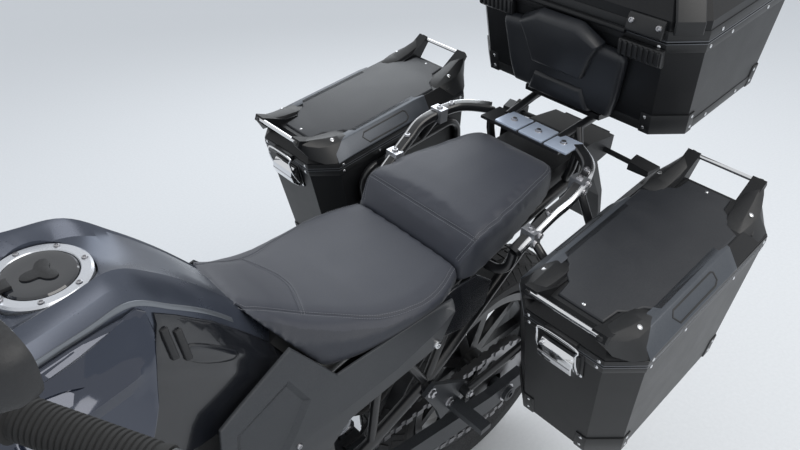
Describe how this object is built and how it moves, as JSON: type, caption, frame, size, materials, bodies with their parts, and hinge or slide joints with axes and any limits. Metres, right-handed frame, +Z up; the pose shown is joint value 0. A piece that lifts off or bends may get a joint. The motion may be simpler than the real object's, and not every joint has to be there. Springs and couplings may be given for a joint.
{
  "type": "adventure motorcycle",
  "caption": "Twin-cylinder adventure touring motorcycle leaning on its side stand, with hinged side cases and a top case on tubular carriers.",
  "frame": {"origin": "on the ground under the middle of the whole machine, as it stands on its side stand", "axes": "+X forward along the machine, +Y to its left, +Z up; the machine leans to its left"},
  "size_m": [2.4332, 1.025, 1.505],
  "materials": {
    "frame_black": "satin",
    "graphite": "satin",
    "gloss_black": "gloss",
    "black_plastic": "matte",
    "case_black": "satin",
    "engine_black": "satin",
    "alloy": "satin",
    "dark_steel": "satin",
    "exhaust_steel": "satin",
    "fork_gold": "satin",
    "tyre": "matte",
    "seat": "matte",
    "rubber": "matte",
    "lens": "gloss",
    "screen": "gloss",
    "lamp_red": "gloss",
    "spring": "satin"
  },
  "bodies": {
    "chassis": {"chain": "dark_steel", "frame": "frame_black", "rear_frame": "frame_black", "swingarm": "frame_black", "rear_shock": "spring", "engine": "engine_black", "exhaust": "exhaust_steel", "radiator": "black_plastic", "skid_plate": "alloy", "fuel_tank": "graphite", "side_fairings": "gloss_black", "knee_panels": "gloss_black", "side_covers": "graphite", "rider_seat": "seat", "pillion_seat": "seat", "nose_cowl": "graphite", "headlight": "lens", "windscreen": "screen", "instrument": "black_plastic", "tail_unit": "black_plastic", "rear_lamps": "lamp_red", "grab_rails": "frame_black", "side_case_shells": "case_black", "side_case_latches": "dark_steel", "top_case_shell": "case_black", "top_case_backrest": "rubber", "top_case_plate": "frame_black", "rear_carrier": "alloy", "side_case_racks": "frame_black", "rack_clamps": "alloy", "footrests": "alloy", "rear_mudguard": "black_plastic", "rear_caliper": "dark_steel"},
    "steering": {"fork_yokes": "frame_black", "fork_legs": "fork_gold", "handlebar": "frame_black", "grips": "rubber", "hand_controls": "black_plastic", "mirrors": "black_plastic", "front_mudguard": "black_plastic", "front_calipers": "dark_steel"},
    "front_wheel": {"front_wheel": "frame_black", "front_tyre": "tyre", "front_discs": "dark_steel"},
    "rear_wheel": {"rear_wheel": "frame_black", "rear_tyre": "tyre", "rear_disc": "dark_steel", "rear_sprocket": "dark_steel"},
    "side_stand": {"side_stand": "frame_black"},
    "left_case_lid": {"side_case_lid_left": "case_black"},
    "right_case_lid": {"side_case_lid_right": "case_black"},
    "top_lid": {"top_case_lid": "case_black"},
    "cap": {"filler_cap": "gloss_black"}
  },
  "joints": [
    {"name": "steering", "type": "hinge", "parent": "chassis", "child": "steering", "pos_m": [0.55621, 0.00899, 0.93609], "axis": [-0.4363, 0.1406, 0.8887], "range_deg": [-51, 25]},
    {"name": "front_wheel_spin", "type": "hinge", "parent": "steering", "child": "front_wheel", "pos_m": [0.89339, -0.08093, 0.32044], "axis": [-0.2028, 0.9469, -0.2494], "continuous": true},
    {"name": "rear_wheel_spin", "type": "hinge", "parent": "chassis", "child": "rear_wheel", "pos_m": [-0.62087, -0.08941, 0.31754], "axis": [-0.0004, 0.9877, -0.1564], "continuous": true},
    {"name": "side_stand", "type": "hinge", "parent": "chassis", "child": "side_stand", "pos_m": [0.01909, 0.08781, 0.29711], "axis": [0.0347, 0.9381, 0.3447], "range_deg": [0, 111.91]},
    {"name": "left_case_lid_hinge", "type": "hinge", "parent": "chassis", "child": "left_case_lid", "pos_m": [-0.84768, 0.35795, 0.83491], "axis": [0.0004, -0.9877, 0.1564], "range_deg": [0, 60]},
    {"name": "right_case_lid_hinge", "type": "hinge", "parent": "chassis", "child": "right_case_lid", "pos_m": [-0.84742, -0.35516, 0.94785], "axis": [0.0004, -0.9877, 0.1564], "range_deg": [0, 60]},
    {"name": "top_lid_hinge", "type": "hinge", "parent": "chassis", "child": "top_lid", "pos_m": [-0.78366, 0.04426, 1.16184], "axis": [-0.0004, 0.9877, -0.1564], "range_deg": [0, 70]},
    {"name": "cap_hinge", "type": "hinge", "parent": "chassis", "child": "cap", "pos_m": [0.28187, 0.03058, 1.07302], "axis": [-0.0004, 0.9877, -0.1564], "range_deg": [0, 100]}
  ]
}
